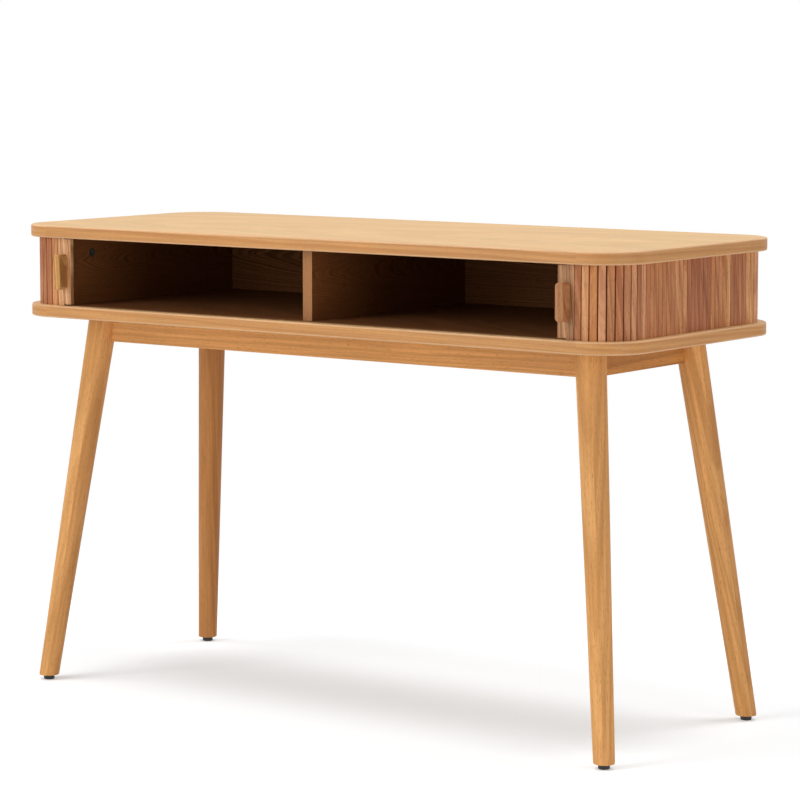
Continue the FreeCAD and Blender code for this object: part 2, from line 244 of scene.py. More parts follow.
def dress(node, finish):
    """A finish on a piece that keeps its construction mesh."""
    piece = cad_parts[node]
    piece.data.materials.clear()
    piece.data.materials.append(finish)


# Rubberwood, planed and lacquered: warm orange tan, straight streaks and many fine dark pores.
rubberwood = {
    "light": "#EDAD6A", "dark": "#D39354", "pore": "#AA7239",
    "ring": 0.009, "pith": 0.05, "figure": 0.75, "streak": 0.15, "roughness": 0.5, "gloss": 0.2,
}
quarter_turn = math.pi / 2
rail_along_x = wood("rubberwood_rail_along_x", **rubberwood, turn=(quarter_turn, 0, 0))
# The short rails are painted browner than the long ones: painted shade, as they lie under the panel's
# overhang.
shaded_rail_rubberwood = dict(rubberwood, light="#CC8A48", dark="#B27338", pore="#80501F")
rail_along_y = wood("rubberwood_rail_along_y", **shaded_rail_rubberwood, turn=(0, -quarter_turn, -quarter_turn))
for node in ("front_apron", "back_apron"):
    dress(node, rail_along_x)
for node in ("left_apron", "right_apron"):
    dress(node, rail_along_y)
corner_names = ("front_left", "front_right", "back_left", "back_right")
for corner in corner_names:
    dress(corner + "_corner_block", rail_along_x)
dress("apron_dowels", rail_along_x)


# Legs: round tapered rubberwood, each turned from two staves glued side by side, splayed both ways and
# sawn level at both ends. A hanger bolt in each corner block pulls them into the frame.
leg_top_radius = 0.024
leg_foot_radius = 0.0165
# A leg is turned longer than it stands, with this much to spare at each end, and then sawn level.
leg_spare = 0.048
leg_sides = 72
leg_foot_ease = 0.001
apron_proud = 0.004


def read_grain(shape, plank, board_tone=0.0):
    """Keeps each point's place in the plank that its piece was cut from: along, across and through."""
    layer = shape.verts.layers.float_vector.new("grain")
    tone = shape.verts.layers.float.new("tone")
    for vert in shape.verts:
        vert[layer] = plank @ vert.co
        vert[tone] = board_tone


def finish_piece(name, shape, slot, *finishes):
    """A new object at the origin from a shape, with clean shading on flats and rounds."""
    bmesh.ops.recalc_face_normals(shape, faces=shape.faces)
    mesh = bpy.data.meshes.new(name)
    shape.to_mesh(mesh)
    shape.free()
    mesh.shade_smooth()
    mesh.set_sharp_from_angle(angle=math.radians(50))
    for finish in finishes:
        mesh.materials.append(finish)
    piece = bpy.data.objects.new(name, mesh)
    bpy.context.scene.collection.objects.link(piece)
    piece.modifiers.new("flat_faces", "WEIGHTED_NORMAL").keep_sharp = True
    return piece


def everything(shape):
    return shape.verts[:] + shape.edges[:] + shape.faces[:]


def saw(shape, place, normal):
    """Cuts a shape at a plane, drops what lies beyond it and closes the cut."""
    cut = bmesh.ops.bisect_plane(
        shape, geom=everything(shape), plane_co=place, plane_no=normal, clear_outer=True
    )
    rim = [part for part in cut["geom_cut"] if isinstance(part, bmesh.types.BMEdge)]
    bmesh.ops.edgeloop_fill(shape, edges=rim)
    return rim


# The staves come from unlike boards, and dark shades each board's tone. The back left leg's brown tones are
# painted shade, for the shade at the back of the desk.
stave_rubberwood = dict(rubberwood, light=("#F2B36E", "#CA8A50"), dark="#E3DACD")
turned_rubberwood = wood("rubberwood_turned", **stave_rubberwood)
# Each leg's glue line, in degrees round the leg, and the tones of its two staves
leg_staves = {
    "front_left": (30, 0.0, 0.35),
    "front_right": (30, 0.0, 0.3),
    # The back left leg's dark tones are painted shade.
    "back_left": (50, 0.85, 1.0),
    "back_right": (66, 0.15, 0.5),
}
plank_step = Vector((1.3, 0.04, -0.03))
upright = Matrix.Rotation(quarter_turn, 4, "Y")
bottom_low, bottom_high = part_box("bottom_panel")
leg_top_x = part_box("right_apron")[1].x - apron_proud
leg_top_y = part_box("back_apron")[1].y - apron_proud
for number, corner in enumerate(corner_names):
    foot_low, foot_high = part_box(corner + "_foot")
    foot_place = (foot_low + foot_high) / 2
    foot_place.z = foot_high.z
    top_place = Vector((0, 0, bottom_low.z))
    top_place.x = math.copysign(leg_top_x, foot_place.x)
    top_place.y = math.copysign(leg_top_y, foot_place.y)
    run = top_place - foot_place
    spare_taper = (leg_top_radius - leg_foot_radius) * leg_spare / run.length
    shape = bmesh.new()
    bmesh.ops.create_cone(
        shape, cap_ends=True, segments=leg_sides, radius1=leg_foot_radius - spare_taper,
        radius2=leg_top_radius + spare_taper, depth=run.length + 2 * leg_spare,
    )
    lean = run.to_track_quat("Z", "Y").to_matrix().to_4x4()
    placed = Matrix.Translation((top_place + foot_place) / 2) @ lean
    bmesh.ops.transform(shape, matrix=placed, verts=shape.verts)
    saw(shape, top_place, (0, 0, 1))
    rim = saw(shape, foot_place, (0, 0, -1))
    bmesh.ops.bevel(
        shape, geom=rim, offset=leg_foot_ease, affect="EDGES", segments=2, profile=0.5, material=-1
    )
    # The grain runs up the leg; each stave comes from another part of the log.
    glue_line, *stave_tones = leg_staves[corner]
    across_glue = Vector((math.cos(math.radians(glue_line)), math.sin(math.radians(glue_line)), 0))
    across_glue -= across_glue.project(run)
    bmesh.ops.bisect_plane(shape, geom=everything(shape), plane_co=foot_place, plane_no=across_glue)
    layer = shape.loops.layers.float_vector.new("grain")
    tone = shape.loops.layers.float.new("tone")
    for face in shape.faces:
        stave = int(across_glue.dot(face.calc_center_median() - foot_place) > 0)
        board = number + len(corner_names) * stave
        plank = Matrix.Translation(plank_step * board) @ upright @ placed.inverted()
        for loop in face.loops:
            loop[layer] = plank @ loop.vert.co
            loop[tone] = stave_tones[stave]
    leg = finish_piece(corner + "_turned_leg", shape, "leg_wood", turned_rubberwood)
    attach(leg, "case")
    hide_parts(corner + "_leg")


# Feet: round glides that keep the legs' sawn ends off the floor. They are moulded in black polypropylene with
# a rounded sole, and a screw holds each one under its leg.
foot_sole_round = 0.0016
foot_sides = 48
# A length under this counts as none.
tolerance = 1e-6


def moulded(name, colour, roughness, grain_size):
    """A dull moulded or milled surface with an even grain, drawn coarse enough to show."""
    dull_swing = 0.08
    grain_depth = 0.0002
    finish = bare_finish(name)
    tree = finish.node_tree
    place = add_node(tree, "ShaderNodeTexCoord", {}).outputs["Object"]
    grain = add_node(tree, "ShaderNodeTexNoise", {"Vector": place, "Scale": 1 / grain_size, "Detail": 2.0})
    relief = add_node(
        tree, "ShaderNodeBump", {"Height": grain.outputs["Fac"], "Strength": 0.2, "Distance": grain_depth}
    )
    dull = add_node(
        tree, "ShaderNodeMapRange",
        {"Value": grain.outputs["Fac"], "To Min": roughness - dull_swing, "To Max": roughness + dull_swing},
    )
    shader = add_node(
        tree, "ShaderNodeBsdfPrincipled",
        {
            "Base Color": linear(colour),
            "Roughness": dull.outputs["Result"],
            "Normal": relief.outputs["Normal"],
        },
    )
    add_node(tree, "ShaderNodeOutputMaterial", {"Surface": shader.outputs["BSDF"]})
    return finish


# Spark-eroded black polypropylene, dull, with a fine grain
black_plastic = moulded("moulded_black_polypropylene", "#1B1A1A", 0.45, 0.0006)
for corner in corner_names:
    foot_low, foot_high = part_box(corner + "_foot")
    foot_size = foot_high - foot_low
    shape = bmesh.new()
    bmesh.ops.create_cone(
        shape, cap_ends=True, segments=foot_sides, radius1=foot_size.x / 2, radius2=foot_size.x / 2,
        depth=foot_size.z,
    )
    bmesh.ops.translate(shape, vec=(foot_low + foot_high) / 2, verts=shape.verts)
    sole = [edge for edge in shape.edges if all(vert.co.z < foot_low.z + tolerance for vert in edge.verts)]
    bmesh.ops.bevel(
        shape, geom=sole, offset=foot_sole_round, affect="EDGES", segments=4, profile=0.5, material=-1
    )
    foot = finish_piece(corner + "_glide", shape, "black_plastic", black_plastic)
    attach(foot, "case")
    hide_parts(corner + "_foot")


# Fasteners: the screws, hanger bolts, nuts, washers and cam bolts that hold the frame and boards together,
# turned or stamped from mild steel and zinc plated.
def plated_steel(name, colour, roughness):
    """Bright zinc plating: grey metal with a faint cloudy bloom."""
    finish = bare_finish(name)
    tree = finish.node_tree
    bloom_size = 0.002
    bloom_bright = 0.1
    bloom_dull = 0.12
    place = add_node(tree, "ShaderNodeTexCoord", {}).outputs["Object"]
    bloom = add_node(tree, "ShaderNodeTexNoise", {"Vector": place, "Scale": 1 / bloom_size, "Detail": 3.0})
    cloudy = add_node(
        tree, "ShaderNodeMapRange",
        {"Value": bloom.outputs["Fac"], "To Min": roughness - bloom_bright, "To Max": roughness + bloom_dull},
    )
    shader = add_node(
        tree, "ShaderNodeBsdfPrincipled",
        {"Base Color": linear(colour), "Metallic": 1.0, "Roughness": cloudy.outputs["Result"]},
    )
    add_node(tree, "ShaderNodeOutputMaterial", {"Surface": shader.outputs["BSDF"]})
    return finish


zinc_steel = plated_steel("zinc_plated_steel", "#B9BCBE", 0.35)
steel_nodes = (
    "foot_screws", "leg_bolts", "leg_washers", "leg_nuts", "frame_screws", "carcass_screws", "cam_bolts",
    "left_handle_screws", "right_handle_screws",
)
for node in steel_nodes:
    dress(node, zinc_steel)


# Bottom panel: an oak-veneered board with round corners, an oak band pressed round its edge, eased lips,
# and a track milled into its upper face for the slats.
panel_corner = 0.076
panel_ease = 0.0025
corner_steps = 28
curtain_inset = 0.014
slat_thickness = 0.007
track_clearance = 0.0005
track_depth = 0.007
half_width = bottom_high.x
half_depth = bottom_high.y
front_run = half_width - panel_corner
# The edge band is laid in lengths: where on its roll the length round each end comes from
band_roll_along = 0.9
band_roll_across = 0.05
# The share of a normal along an axis from which a face counts as square to it
squarely = 0.99

# Oak veneer, sanded and lacquered: light honey, with long faint flames and fine pores along the desk.
face_veneer = wood(
    "oak_veneer_face", light="#D8AF76", dark="#C79A62", pore="#B58754", ring=0.008, pith=0.09, figure=0.5,
    streak=0.09, roughness=0.5,
)
# Oak edge band: a strip of veneer whose grain runs round the edge, a little more orange than the faces.
edge_band = wood(
    "oak_edge_band", light="#D59B5E", dark="#C3844A", pore="#B27B46", ring=0.005, pith=0.05, figure=0.75,
    streak=0.12, roughness=0.5,
)
# The lips of that band, sanded round by hand, are painted paler: partly the paler sanded wood, partly a
# painted highlight where the eased edge catches the light.
sanded_lip_and_highlight = wood(
    "oak_band_sanded_lip", light="#E6B686", dark="#D6A272", pore="#C08E5C", ring=0.005, pith=0.05, figure=0.6,
    streak=0.1, roughness=0.5,
)
# Oak veneer on the panels' inner faces, the compartments' floor and ceiling, painted dark brown: painted
# shade that stands in for the shade deep in the compartments.
inner_face_painted_shade = wood(
    "oak_veneer_inner_face_painted_shade", light="#8A5932", dark="#6A4123", pore="#432712", ring=0.004, pith=0.03,
    figure=0.6, streak=0.08, roughness=0.6, gloss=0.15,
)
# Milled fibreboard: dull brown core, bare in the track.
track_core = moulded("milled_fibreboard", "#8A6A48", 0.8, 0.001)


def add_block(shape, low, high):
    """Adds a sawn block between two corners; gives back its points."""
    made = bmesh.ops.create_cube(shape, size=1.0)["verts"]
    bmesh.ops.scale(shape, vec=high - low, verts=made)
    bmesh.ops.translate(shape, vec=(low + high) / 2, verts=made)
    return made


def edge_run(edge):
    """How far an edge runs along each axis."""
    return edge.verts[1].co - edge.verts[0].co


def push(shape, faces, reach):
    """Draws faces out of a shape, or sinks them into it, with walls along the way."""
    drawn = bmesh.ops.extrude_face_region(shape, geom=faces)
    moved = [part for part in drawn["geom"] if isinstance(part, bmesh.types.BMVert)]
    bmesh.ops.translate(shape, vec=reach, verts=moved)
    bmesh.ops.delete(shape, geom=faces, context="FACES")


def veneered_panel(name, node, tracked, leaf):
    """A panel with its track on the upper face, or on the lower one where tracked is -1; leaf is the place
    along the log that its veneer was sliced from."""
    finishes = (face_veneer, edge_band, track_core, inner_face_painted_shade, sanded_lip_and_highlight)
    on_face, on_band, in_track, on_inner_face, on_lip = range(len(finishes))
    low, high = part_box(node)
    shape = bmesh.new()
    add_block(shape, low, high)
    uprights = [edge for edge in shape.edges if abs(edge_run(edge).z) > tolerance]
    bmesh.ops.bevel(
        shape, geom=uprights, offset=panel_corner, affect="EDGES", segments=corner_steps, profile=0.5,
        material=-1,
    )
    lips = [edge for edge in shape.edges if abs(edge_run(edge).z) < tolerance]
    bmesh.ops.bevel(
        shape, geom=lips, offset=panel_ease, affect="EDGES", segments=4, profile=0.5, material=-1
    )
    shape.normal_update()
    # Faces on the eased lips take the paler lip finish, with its painted highlight.
    for face in shape.faces:
        level = abs(face.normal.z)
        face.material_index = on_band if level < 1 - squarely else on_lip
        if level > squarely:
            face.material_index = on_face
    inner_face = [face for face in shape.faces if face.normal.z * tracked > squarely]
    outer_inset = curtain_inset - track_clearance - panel_ease
    bmesh.ops.inset_region(shape, faces=inner_face, thickness=outer_inset, use_even_offset=True)
    track_width = slat_thickness + 2 * track_clearance
    ring = bmesh.ops.inset_region(shape, faces=inner_face, thickness=track_width, use_even_offset=True)
    # The inner faces take the dark brown veneer, whose colour is painted shade.
    for face in inner_face:
        face.material_index = on_inner_face
    before = set(shape.faces)
    push(shape, ring["faces"], (0, 0, -tracked * track_depth))
    for face in shape.faces:
        if face not in before:
            face.material_index = in_track

    # The faces' grain runs along the desk, the band's round its edge with joints at the corners and the back.
    bmesh.ops.bisect_plane(shape, geom=everything(shape), plane_co=(0, 0, 0), plane_no=(1, 0, 0))
    layer = shape.loops.layers.float_vector.new("grain")
    for face in shape.faces:
        middle = face.calc_center_median()
        hand = math.copysign(1, middle.x)
        roll = Vector()
        if abs(middle.x) > front_run:
            roll = Vector((band_roll_along * hand, band_roll_across, 0))
        for loop in face.loops:
            place = loop.vert.co
            if face.material_index in (on_band, on_lip):
                along = place.x + hand * (place.y + half_depth)
                loop[layer] = Vector((along + leaf, place.z, 0)) + roll
            else:
                loop[layer] = place + Vector((leaf, 0, 0))
    panel = finish_piece(name, shape, "oak_veneer", *finishes)
    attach(panel, "case")
    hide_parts(node)


veneered_panel("bottom_board", "bottom_panel", tracked=1, leaf=2.3)


# Inner boards: two sides, a centre divider and a back, held by cam locks and screws. Their oak veneer lies
# with its grain level, and its brown is painted shade that stands in for the shade deep in the compartments.
shaded_inner_oak = {
    "light": "#8F5930", "dark": "#623A1B", "pore": "#3A2210",
    "ring": 0.0007, "pith": 0.04, "figure": 0.6, "streak": 0.08, "roughness": 0.55, "gloss": 0.1,
}
top_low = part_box("top_panel")[0]
inner_middle = (bottom_high.z + top_low.z) / 2
# Each board's leaf of veneer was sliced from another place in the log.
leaf_step = 0.4
leaf_rise = 0.025
back_leaf = 0.3
for node in ("left_inner_side", "right_inner_side", "centre_divider"):
    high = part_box(node)[1]
    leaf = Vector((leaf_step * high.x, -inner_middle - leaf_rise, -high.x))
    veneer = wood("oak_veneer_" + node, **shaded_inner_oak, turn=(0, -quarter_turn, -quarter_turn), shift=leaf)
    dress(node, veneer)
leaf = Vector((back_leaf, inner_middle, -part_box("back_panel")[0].y))
# The back panel's brown is the same painted shade, with a bolder figure and wider rings.
shaded_bold_oak = dict(shaded_inner_oak, light="#9B6339", dark="#6A3F1F", ring=0.0014, figure=0.9)
back_veneer = wood("oak_veneer_back_panel", **shaded_bold_oak, turn=(quarter_turn, 0, 0), shift=leaf)
dress("back_panel", back_veneer)


# Cam locks: moulded discs let into the boards, each with a cross slot that a screwdriver turns to pull its
# bolt tight.
cam_slot_width = 0.0022
cam_slot_length = 0.0096
cam_slot_depth = 0.0025
# A cam's head lies within this of its board's face.
flush = 1e-5
# Glass-filled black nylon: a duller, greyer black than the feet
cam_nylon = moulded("moulded_black_nylon", "#453E39", 0.5, 0.0006)
board_faces = (
    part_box("left_inner_side")[1].x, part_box("right_inner_side")[0].x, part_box("centre_divider")[0].x
)
shape = bmesh.new()
shape.from_mesh(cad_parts["cam_locks"].data)
bmesh.ops.remove_doubles(shape, verts=shape.verts, dist=tolerance)
bmesh.ops.dissolve_limit(shape, angle_limit=math.radians(1), verts=shape.verts, edges=shape.edges)
shape.normal_update()
heads = [
    face for face in shape.faces
    if abs(face.normal.x) > squarely
    and min(abs(face.calc_center_median().x - board_face) for board_face in board_faces) < flush
]
for head in heads:
    middle = head.calc_center_bounds()
    inward = -head.normal
    parts = [head]
    for axis in (Vector((0, 1, 0)), Vector((0, 0, 1))):
        for reach in (-cam_slot_length, -cam_slot_width, cam_slot_width, cam_slot_length):
            edges = {edge for face in parts for edge in face.edges}
            verts = {vert for face in parts for vert in face.verts}
            cut = bmesh.ops.bisect_plane(
                shape, geom=parts + list(edges) + list(verts), plane_co=middle + axis * reach / 2,
                plane_no=axis,
            )
            parts = [part for part in cut["geom"] if isinstance(part, bmesh.types.BMFace)]
    cross = []
    for face in parts:
        spot = face.calc_center_median() - middle
        near, far = sorted((2 * abs(spot.y), 2 * abs(spot.z)))
        if near < cam_slot_width and far < cam_slot_length:
            cross.append(face)
    push(shape, cross, inward * cam_slot_depth)
cams = finish_piece("slotted_cam_locks", shape, "black_plastic", cam_nylon)
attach(cams, "case")
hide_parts("cam_locks")


# Divider band: a thin strip of oak veneer with upright grain, glued over the centre divider's sawn front edge
# and trimmed flush with its faces.
band_thickness = 0.0006
# Its colour is darker than the panels' edge band: painted shade, as the divider's edge lies back under the
# top panel.
shaded_upright_band = wood(
    "oak_band_upright", light="#B57D4A", dark="#9D6637", pore="#7A4C26", ring=0.007, pith=0.05, figure=0.6,
    streak=0.1, roughness=0.5,
)
low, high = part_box("centre_divider")
shape = bmesh.new()
add_block(shape, low - Vector((0, band_thickness, 0)), Vector((high.x, low.y, high.z)))
read_grain(shape, upright)
band = finish_piece("divider_front_band", shape, "inner_veneer", shaded_upright_band)
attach(band, "case")


# Slats: solid oak strips that stand in both tracks, glued side by side to canvas with a hair's gap.
# They are cut from many boards, so each has its own tone: pinkish, ochre or brown.
slat_width = 0.0109
slat_gap = 0.00085
slat_chamfer = 0.0008
slat_pitch = slat_width + slat_gap
line_inset = curtain_inset + slat_thickness
line_radius = panel_corner - line_inset
corner_run = line_radius * quarter_turn
side_start = front_run + corner_run
rear_corner_start = side_start + 2 * (half_depth - panel_corner)
back_start = rear_corner_start + corner_run
stile_low, stile_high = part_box("right_stile")
slat_low, slat_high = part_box("right_side_slats")
first_slat = stile_high.x + slat_gap + slat_width / 2
side_slat_count = math.ceil((back_start + slat_width / 2 - first_slat) / slat_pitch)
opening_slats = math.floor(stile_low.x / slat_pitch)
door_travel = opening_slats * slat_pitch


def curtain_place(distance):
    """The right curtain's line, from the front's middle: a place on it, with Y turned inwards."""
    if distance <= front_run:
        turn = 0.0
        place = Vector((distance, -half_depth + line_inset, 0))
    elif distance <= side_start:
        turn = (distance - front_run) / line_radius
        place = Vector((front_run, -half_depth + panel_corner, 0))
        place += Vector((math.sin(turn), -math.cos(turn), 0)) * line_radius
    elif distance <= rear_corner_start:
        turn = quarter_turn
        place = Vector((half_width - line_inset, -half_depth + panel_corner + distance - side_start, 0))
    elif distance <= back_start:
        turn = quarter_turn + (distance - rear_corner_start) / line_radius
        place = Vector((front_run, half_depth - panel_corner, 0))
        place += Vector((math.sin(turn), -math.cos(turn), 0)) * line_radius
    else:
        turn = math.pi
        place = Vector((front_run - distance + back_start, half_depth - line_inset, 0))
    return Matrix.Translation(place) @ Matrix.Rotation(turn, 4, "Z")


slat_tones = ("#B37051", "#E2A06D", "#F4BA80", "#C78360", "#DA9660", "#EDB085")
slat_oak = wood(
    "oak_slat", light=slat_tones, dark="#B89684", pore="#8A5638", ring=0.005, pith=0.04, figure=0.5,
    streak=0.16, roughness=0.6, gloss=0.15,
)
# Where in its log a slat may come from, and how often the next slat is cut from a board of another tone
log_along = 6
log_across = 0.08
log_through = 0.05
new_tone_chance = 0.6


def slats(seed, distances, sunk=0.0):
    """A run of slats on the right curtain's line, each with the grain and tone of its own board, and with
    its face set back where sunk says so."""
    shape = bmesh.new()
    layer = shape.verts.layers.float_vector.new("grain")
    tone = shape.verts.layers.float.new("tone")
    boards = random.Random(seed)
    board_tone = boards.random()
    low = Vector((-slat_width / 2, sunk - slat_thickness, slat_low.z))
    high = Vector((slat_width / 2, 0, slat_high.z))
    for distance in distances:
        made = add_block(shape, low, high)
        front = [
            edge for edge in shape.edges
            if all(vert in made and vert.co.y < -tolerance for vert in edge.verts)
            and abs(edge_run(edge).z) > tolerance
        ]
        eased = bmesh.ops.bevel(
            shape, geom=front, offset=slat_chamfer, affect="EDGES", segments=2, profile=0.5, material=-1
        )
        made = set(eased["verts"]) | {vert for vert in made if vert.is_valid}
        along = boards.uniform(0, log_along)
        across = boards.uniform(-log_across, log_across)
        through = boards.uniform(-log_through, log_through)
        if boards.random() < new_tone_chance:
            board_tone = boards.random()
        for vert in made:
            vert[layer] = (vert.co.z + along, vert.co.x + across, vert.co.y + through)
            vert[tone] = board_tone
        bmesh.ops.transform(shape, matrix=curtain_place(distance), verts=list(made))
    return shape


# Each seed picks the mix of boards that a curtain is cut from.
curtain_seeds = {"left": 1277, "right": 4529}
doors = (("left", -1), ("right", 1))
# Where the run of slats at the back starts on the curtain's line
tail_start = first_slat + slat_pitch * side_slat_count
tail_edge = tail_start - slat_width / 2
tail_anchor = curtain_place(tail_edge).translation
for hand, side in doors:
    mirror = Vector((side, 1, 1))
    seed = curtain_seeds[hand]
    shape = slats(seed, [first_slat + slat_pitch * step for step in range(side_slat_count)])
    bmesh.ops.scale(shape, vec=mirror, verts=shape.verts)
    side_run = finish_piece(hand + "_slats_round_side", shape, "slat_oak", slat_oak)
    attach(side_run, "case")
    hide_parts(hand + "_side_slats")
    # The slats at the back give way to the closing door: the run draws together at the rear corner.
    shape = slats(seed + 1, [tail_start + slat_pitch * step for step in range(opening_slats)])
    bmesh.ops.scale(shape, vec=mirror, verts=shape.verts)
    tail_run = finish_piece(hand + "_slats_at_back", shape, "slat_oak", slat_oak)
    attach(tail_run, "case")
    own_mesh(tail_run)
    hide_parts(hand + "_tail_slats")


# Canvas: plain cotton cloth glued behind the slats in one strip, cut narrower than the opening is high.
# It holds the slats in line and bends with them round the corners.
canvas_thickness = 0.0008
canvas_glue = 0.0001
canvas_step = 0.006
canvas_low, canvas_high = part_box("right_canvas")


def woven(name, colour, thread):
    """Plain-woven cloth: threads that pass over and under each other along two directions."""
    slub_threads = 5
    slub_dark = 0.8
    slub_light = 1.15
    thread_relief = 0.0002
    finish = bare_finish(name)
    tree = finish.node_tree
    place = add_node(tree, "ShaderNodeAttribute", {}, attribute_name="weave").outputs["Vector"]
    threads = add_node(tree, "ShaderNodeTexChecker", {"Vector": place, "Scale": 1 / thread})
    slub_scale = 1 / (slub_threads * thread)
    slub = add_node(tree, "ShaderNodeTexNoise", {"Vector": place, "Scale": slub_scale, "Detail": 3.0})
    uneven = add_node(
        tree, "ShaderNodeMapRange",
        {"Value": slub.outputs["Fac"], "To Min": slub_dark, "To Max": slub_light},
    )
    cloth = add_node(
        tree, "ShaderNodeHueSaturation", {"Color": linear(colour), "Value": uneven.outputs["Result"]}
    )
    relief = add_node(
        tree, "ShaderNodeBump",
        {"Height": threads.outputs["Fac"], "Strength": 0.4, "Distance": thread_relief},
    )
    shader = add_node(
        tree, "ShaderNodeBsdfPrincipled",
        {"Base Color": cloth.outputs["Color"], "Roughness": 0.9, "Normal": relief.outputs["Normal"]},
    )
    add_node(tree, "ShaderNodeOutputMaterial", {"Surface": shader.outputs["BSDF"]})
    return finish


cotton_canvas = woven("cotton_canvas", "#6B5E4C", 0.0008)


def cloth_strip(shape, start, end):
    """A strip of the canvas between two distances; gives back its faces, and its length along its middle."""
    layer = shape.verts.layers.float_vector.new("weave")
    steps = math.ceil((end - start) / canvas_step)
    hems = [(canvas_glue, canvas_low.z), (canvas_glue, canvas_high.z)]
    hems += [(canvas_glue + canvas_thickness, height) for back, height in reversed(hems)]
    rows = []
    middles = []
    for step in range(steps + 1):
        distance = start + (end - start) * step / steps
        place = curtain_place(distance)
        rows.append([shape.verts.new(place @ Vector((0, back, height))) for back, height in hems])
        middles.append(place @ Vector((0, canvas_glue + canvas_thickness / 2, 0)))
        for vert in rows[-1]:
            vert[layer] = (distance, vert.co.z, 0)
    made = [shape.faces.new(rows[0]), shape.faces.new(rows[-1])]
    for near, far in zip(rows, rows[1:]):
        for step in range(len(hems)):
            after = (step + 1) % len(hems)
            made.append(shape.faces.new((near[step], near[after], far[after], far[step])))
    length = sum((b - a).length for a, b in zip(middles, middles[1:]))
    return made, length


canvas_start = first_slat - slat_width / 2
canvas_end = tail_start + slat_pitch * (opening_slats - 1) + slat_width / 2
canvas_parts = (("round_side", canvas_start, tail_edge), ("at_back", tail_edge, canvas_end))
for hand, side in doors:
    mirror = Vector((side, 1, 1))
    for part, start, end in canvas_parts:
        shape = bmesh.new()
        length = cloth_strip(shape, start, end)[1]
        bmesh.ops.scale(shape, vec=mirror, verts=shape.verts)
        cloth = finish_piece(hand + "_canvas_" + part, shape, "canvas", cotton_canvas)
        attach(cloth, "case")
        if part == "at_back":
            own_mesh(cloth)
        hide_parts(hand + "_canvas")


# Slats across the front: the part of each curtain that closes its compartment. While a door stands open
# they lie drawn together inside its stile, and they spread along the front as it slides to the middle.
tuck_sunk = 0.0004
tuck_inset = 0.0011
tuck_width = 0.012
tuck_halvings = 50
tuck_edge = stile_high.x - tuck_inset


def tucked(closed):
    """Where a point of the closed front lies while its door is open: closing carries a point along by a
    smooth step of its place in the tuck, and halving finds the place that ends up there."""
    low = tuck_edge - tuck_width
    high = tuck_edge
    for halving in range(tuck_halvings):
        middle = (low + high) / 2
        share = (tuck_edge - middle) / tuck_width
        if middle - door_travel * share * share * (3 - 2 * share) < closed:
            low = middle
        else:
            high = middle
    return (low + high) / 2


curtain_finishes = (slat_oak, cotton_canvas)
for hand, side in doors:
    mirror = Vector((side, 1, 1))
    near_stile = first_slat - door_travel
    places = [near_stile + slat_pitch * step for step in range(opening_slats)]
    shape = slats(curtain_seeds[hand] + 2, places, tuck_sunk)
    backing = cloth_strip(shape, near_stile - slat_width / 2, first_slat - slat_pitch + slat_width / 2)[0]
    for face in backing:
        face.material_index = curtain_finishes.index(cotton_canvas)
    for vert in shape.verts:
        vert.co.x = tucked(vert.co.x)
    bmesh.ops.scale(shape, vec=mirror, verts=shape.verts)
    front_run_slats = finish_piece(hand + "_slats_across_front", shape, "slat_oak", *curtain_finishes)
    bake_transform(front_run_slats)


# Stiles: the stout leading slat of each curtain, planed oak with eased edges. Its rear half has tongues
# that run in the tracks, and its leading half stays clear of both panels.
stile_round = 0.001
stile_reveal = 0.002
stile_notch = 0.015
tongue_front = 0.0003
# The left stile has the first tone, the right one the second.
stile_oak = wood(
    "oak_stile", light=("#F0BC88", "#CB9A6C"), dark="#AC8E78", pore="#784C2B", ring=0.005, pith=0.03,
    figure=0.9, streak=0.22, roughness=0.5,
)
# The stiles' place in their plank, and how far each hand lies from it
stile_plank = Vector((0, 0.25, 0))
stile_apart = Vector((2.2, 0, -0.48))
for hand, side in doors:
    node_low, node_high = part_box(hand + "_stile")
    low = node_low.copy()
    high = node_high.copy()
    low.z = bottom_high.z + stile_reveal
    high.z = top_low.z - stile_reveal
    shape = bmesh.new()
    add_block(shape, low, high)
    uprights = [edge for edge in shape.edges if abs(edge_run(edge).z) > tolerance]
    bmesh.ops.bevel(
        shape, geom=uprights, offset=stile_round, affect="EDGES", segments=3, profile=0.5, material=-1
    )
    lead = low.x if side > 0 else high.x
    tongue_x = sorted([lead + side * stile_notch, lead + side * (high.x - low.x - stile_round)])
    tongue_y = [low.y + tongue_front, high.y - stile_round]
    for place in tongue_x:
        bmesh.ops.bisect_plane(shape, geom=everything(shape), plane_co=(place, 0, 0), plane_no=(1, 0, 0))
    for place in tongue_y:
        bmesh.ops.bisect_plane(shape, geom=everything(shape), plane_co=(0, place, 0), plane_no=(0, 1, 0))
    shape.normal_update()
    for way, reach in ((1, node_high.z - high.z), (-1, node_low.z - low.z)):
        patch = [
            face for face in shape.faces
            if face.normal.z * way > squarely
            and tongue_x[0] < face.calc_center_median().x < tongue_x[1]
            and tongue_y[0] < face.calc_center_median().y < tongue_y[1]
        ]
        push(shape, patch, (0, 0, reach))
        shape.normal_update()
    plank = Matrix.Translation(stile_plank + stile_apart * side) @ upright
    read_grain(shape, plank, board_tone=max(side, 0))
    stile = finish_piece(hand + "_leading_stile", shape, "stile_oak", stile_oak)
    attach(stile, hand + "_door")
    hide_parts(hand + "_stile")


# Pulls: small oak blocks, milled with round corners and a softened face. Two screws hold each one from
# behind its stile.
pull_corner = 0.006
pull_round = 0.0025
# The pulls' place in their plank, and how far each hand lies from it
pull_plank = Vector((3.1, 0.2, 0))
pull_apart = Vector((1, 0, -0.47))
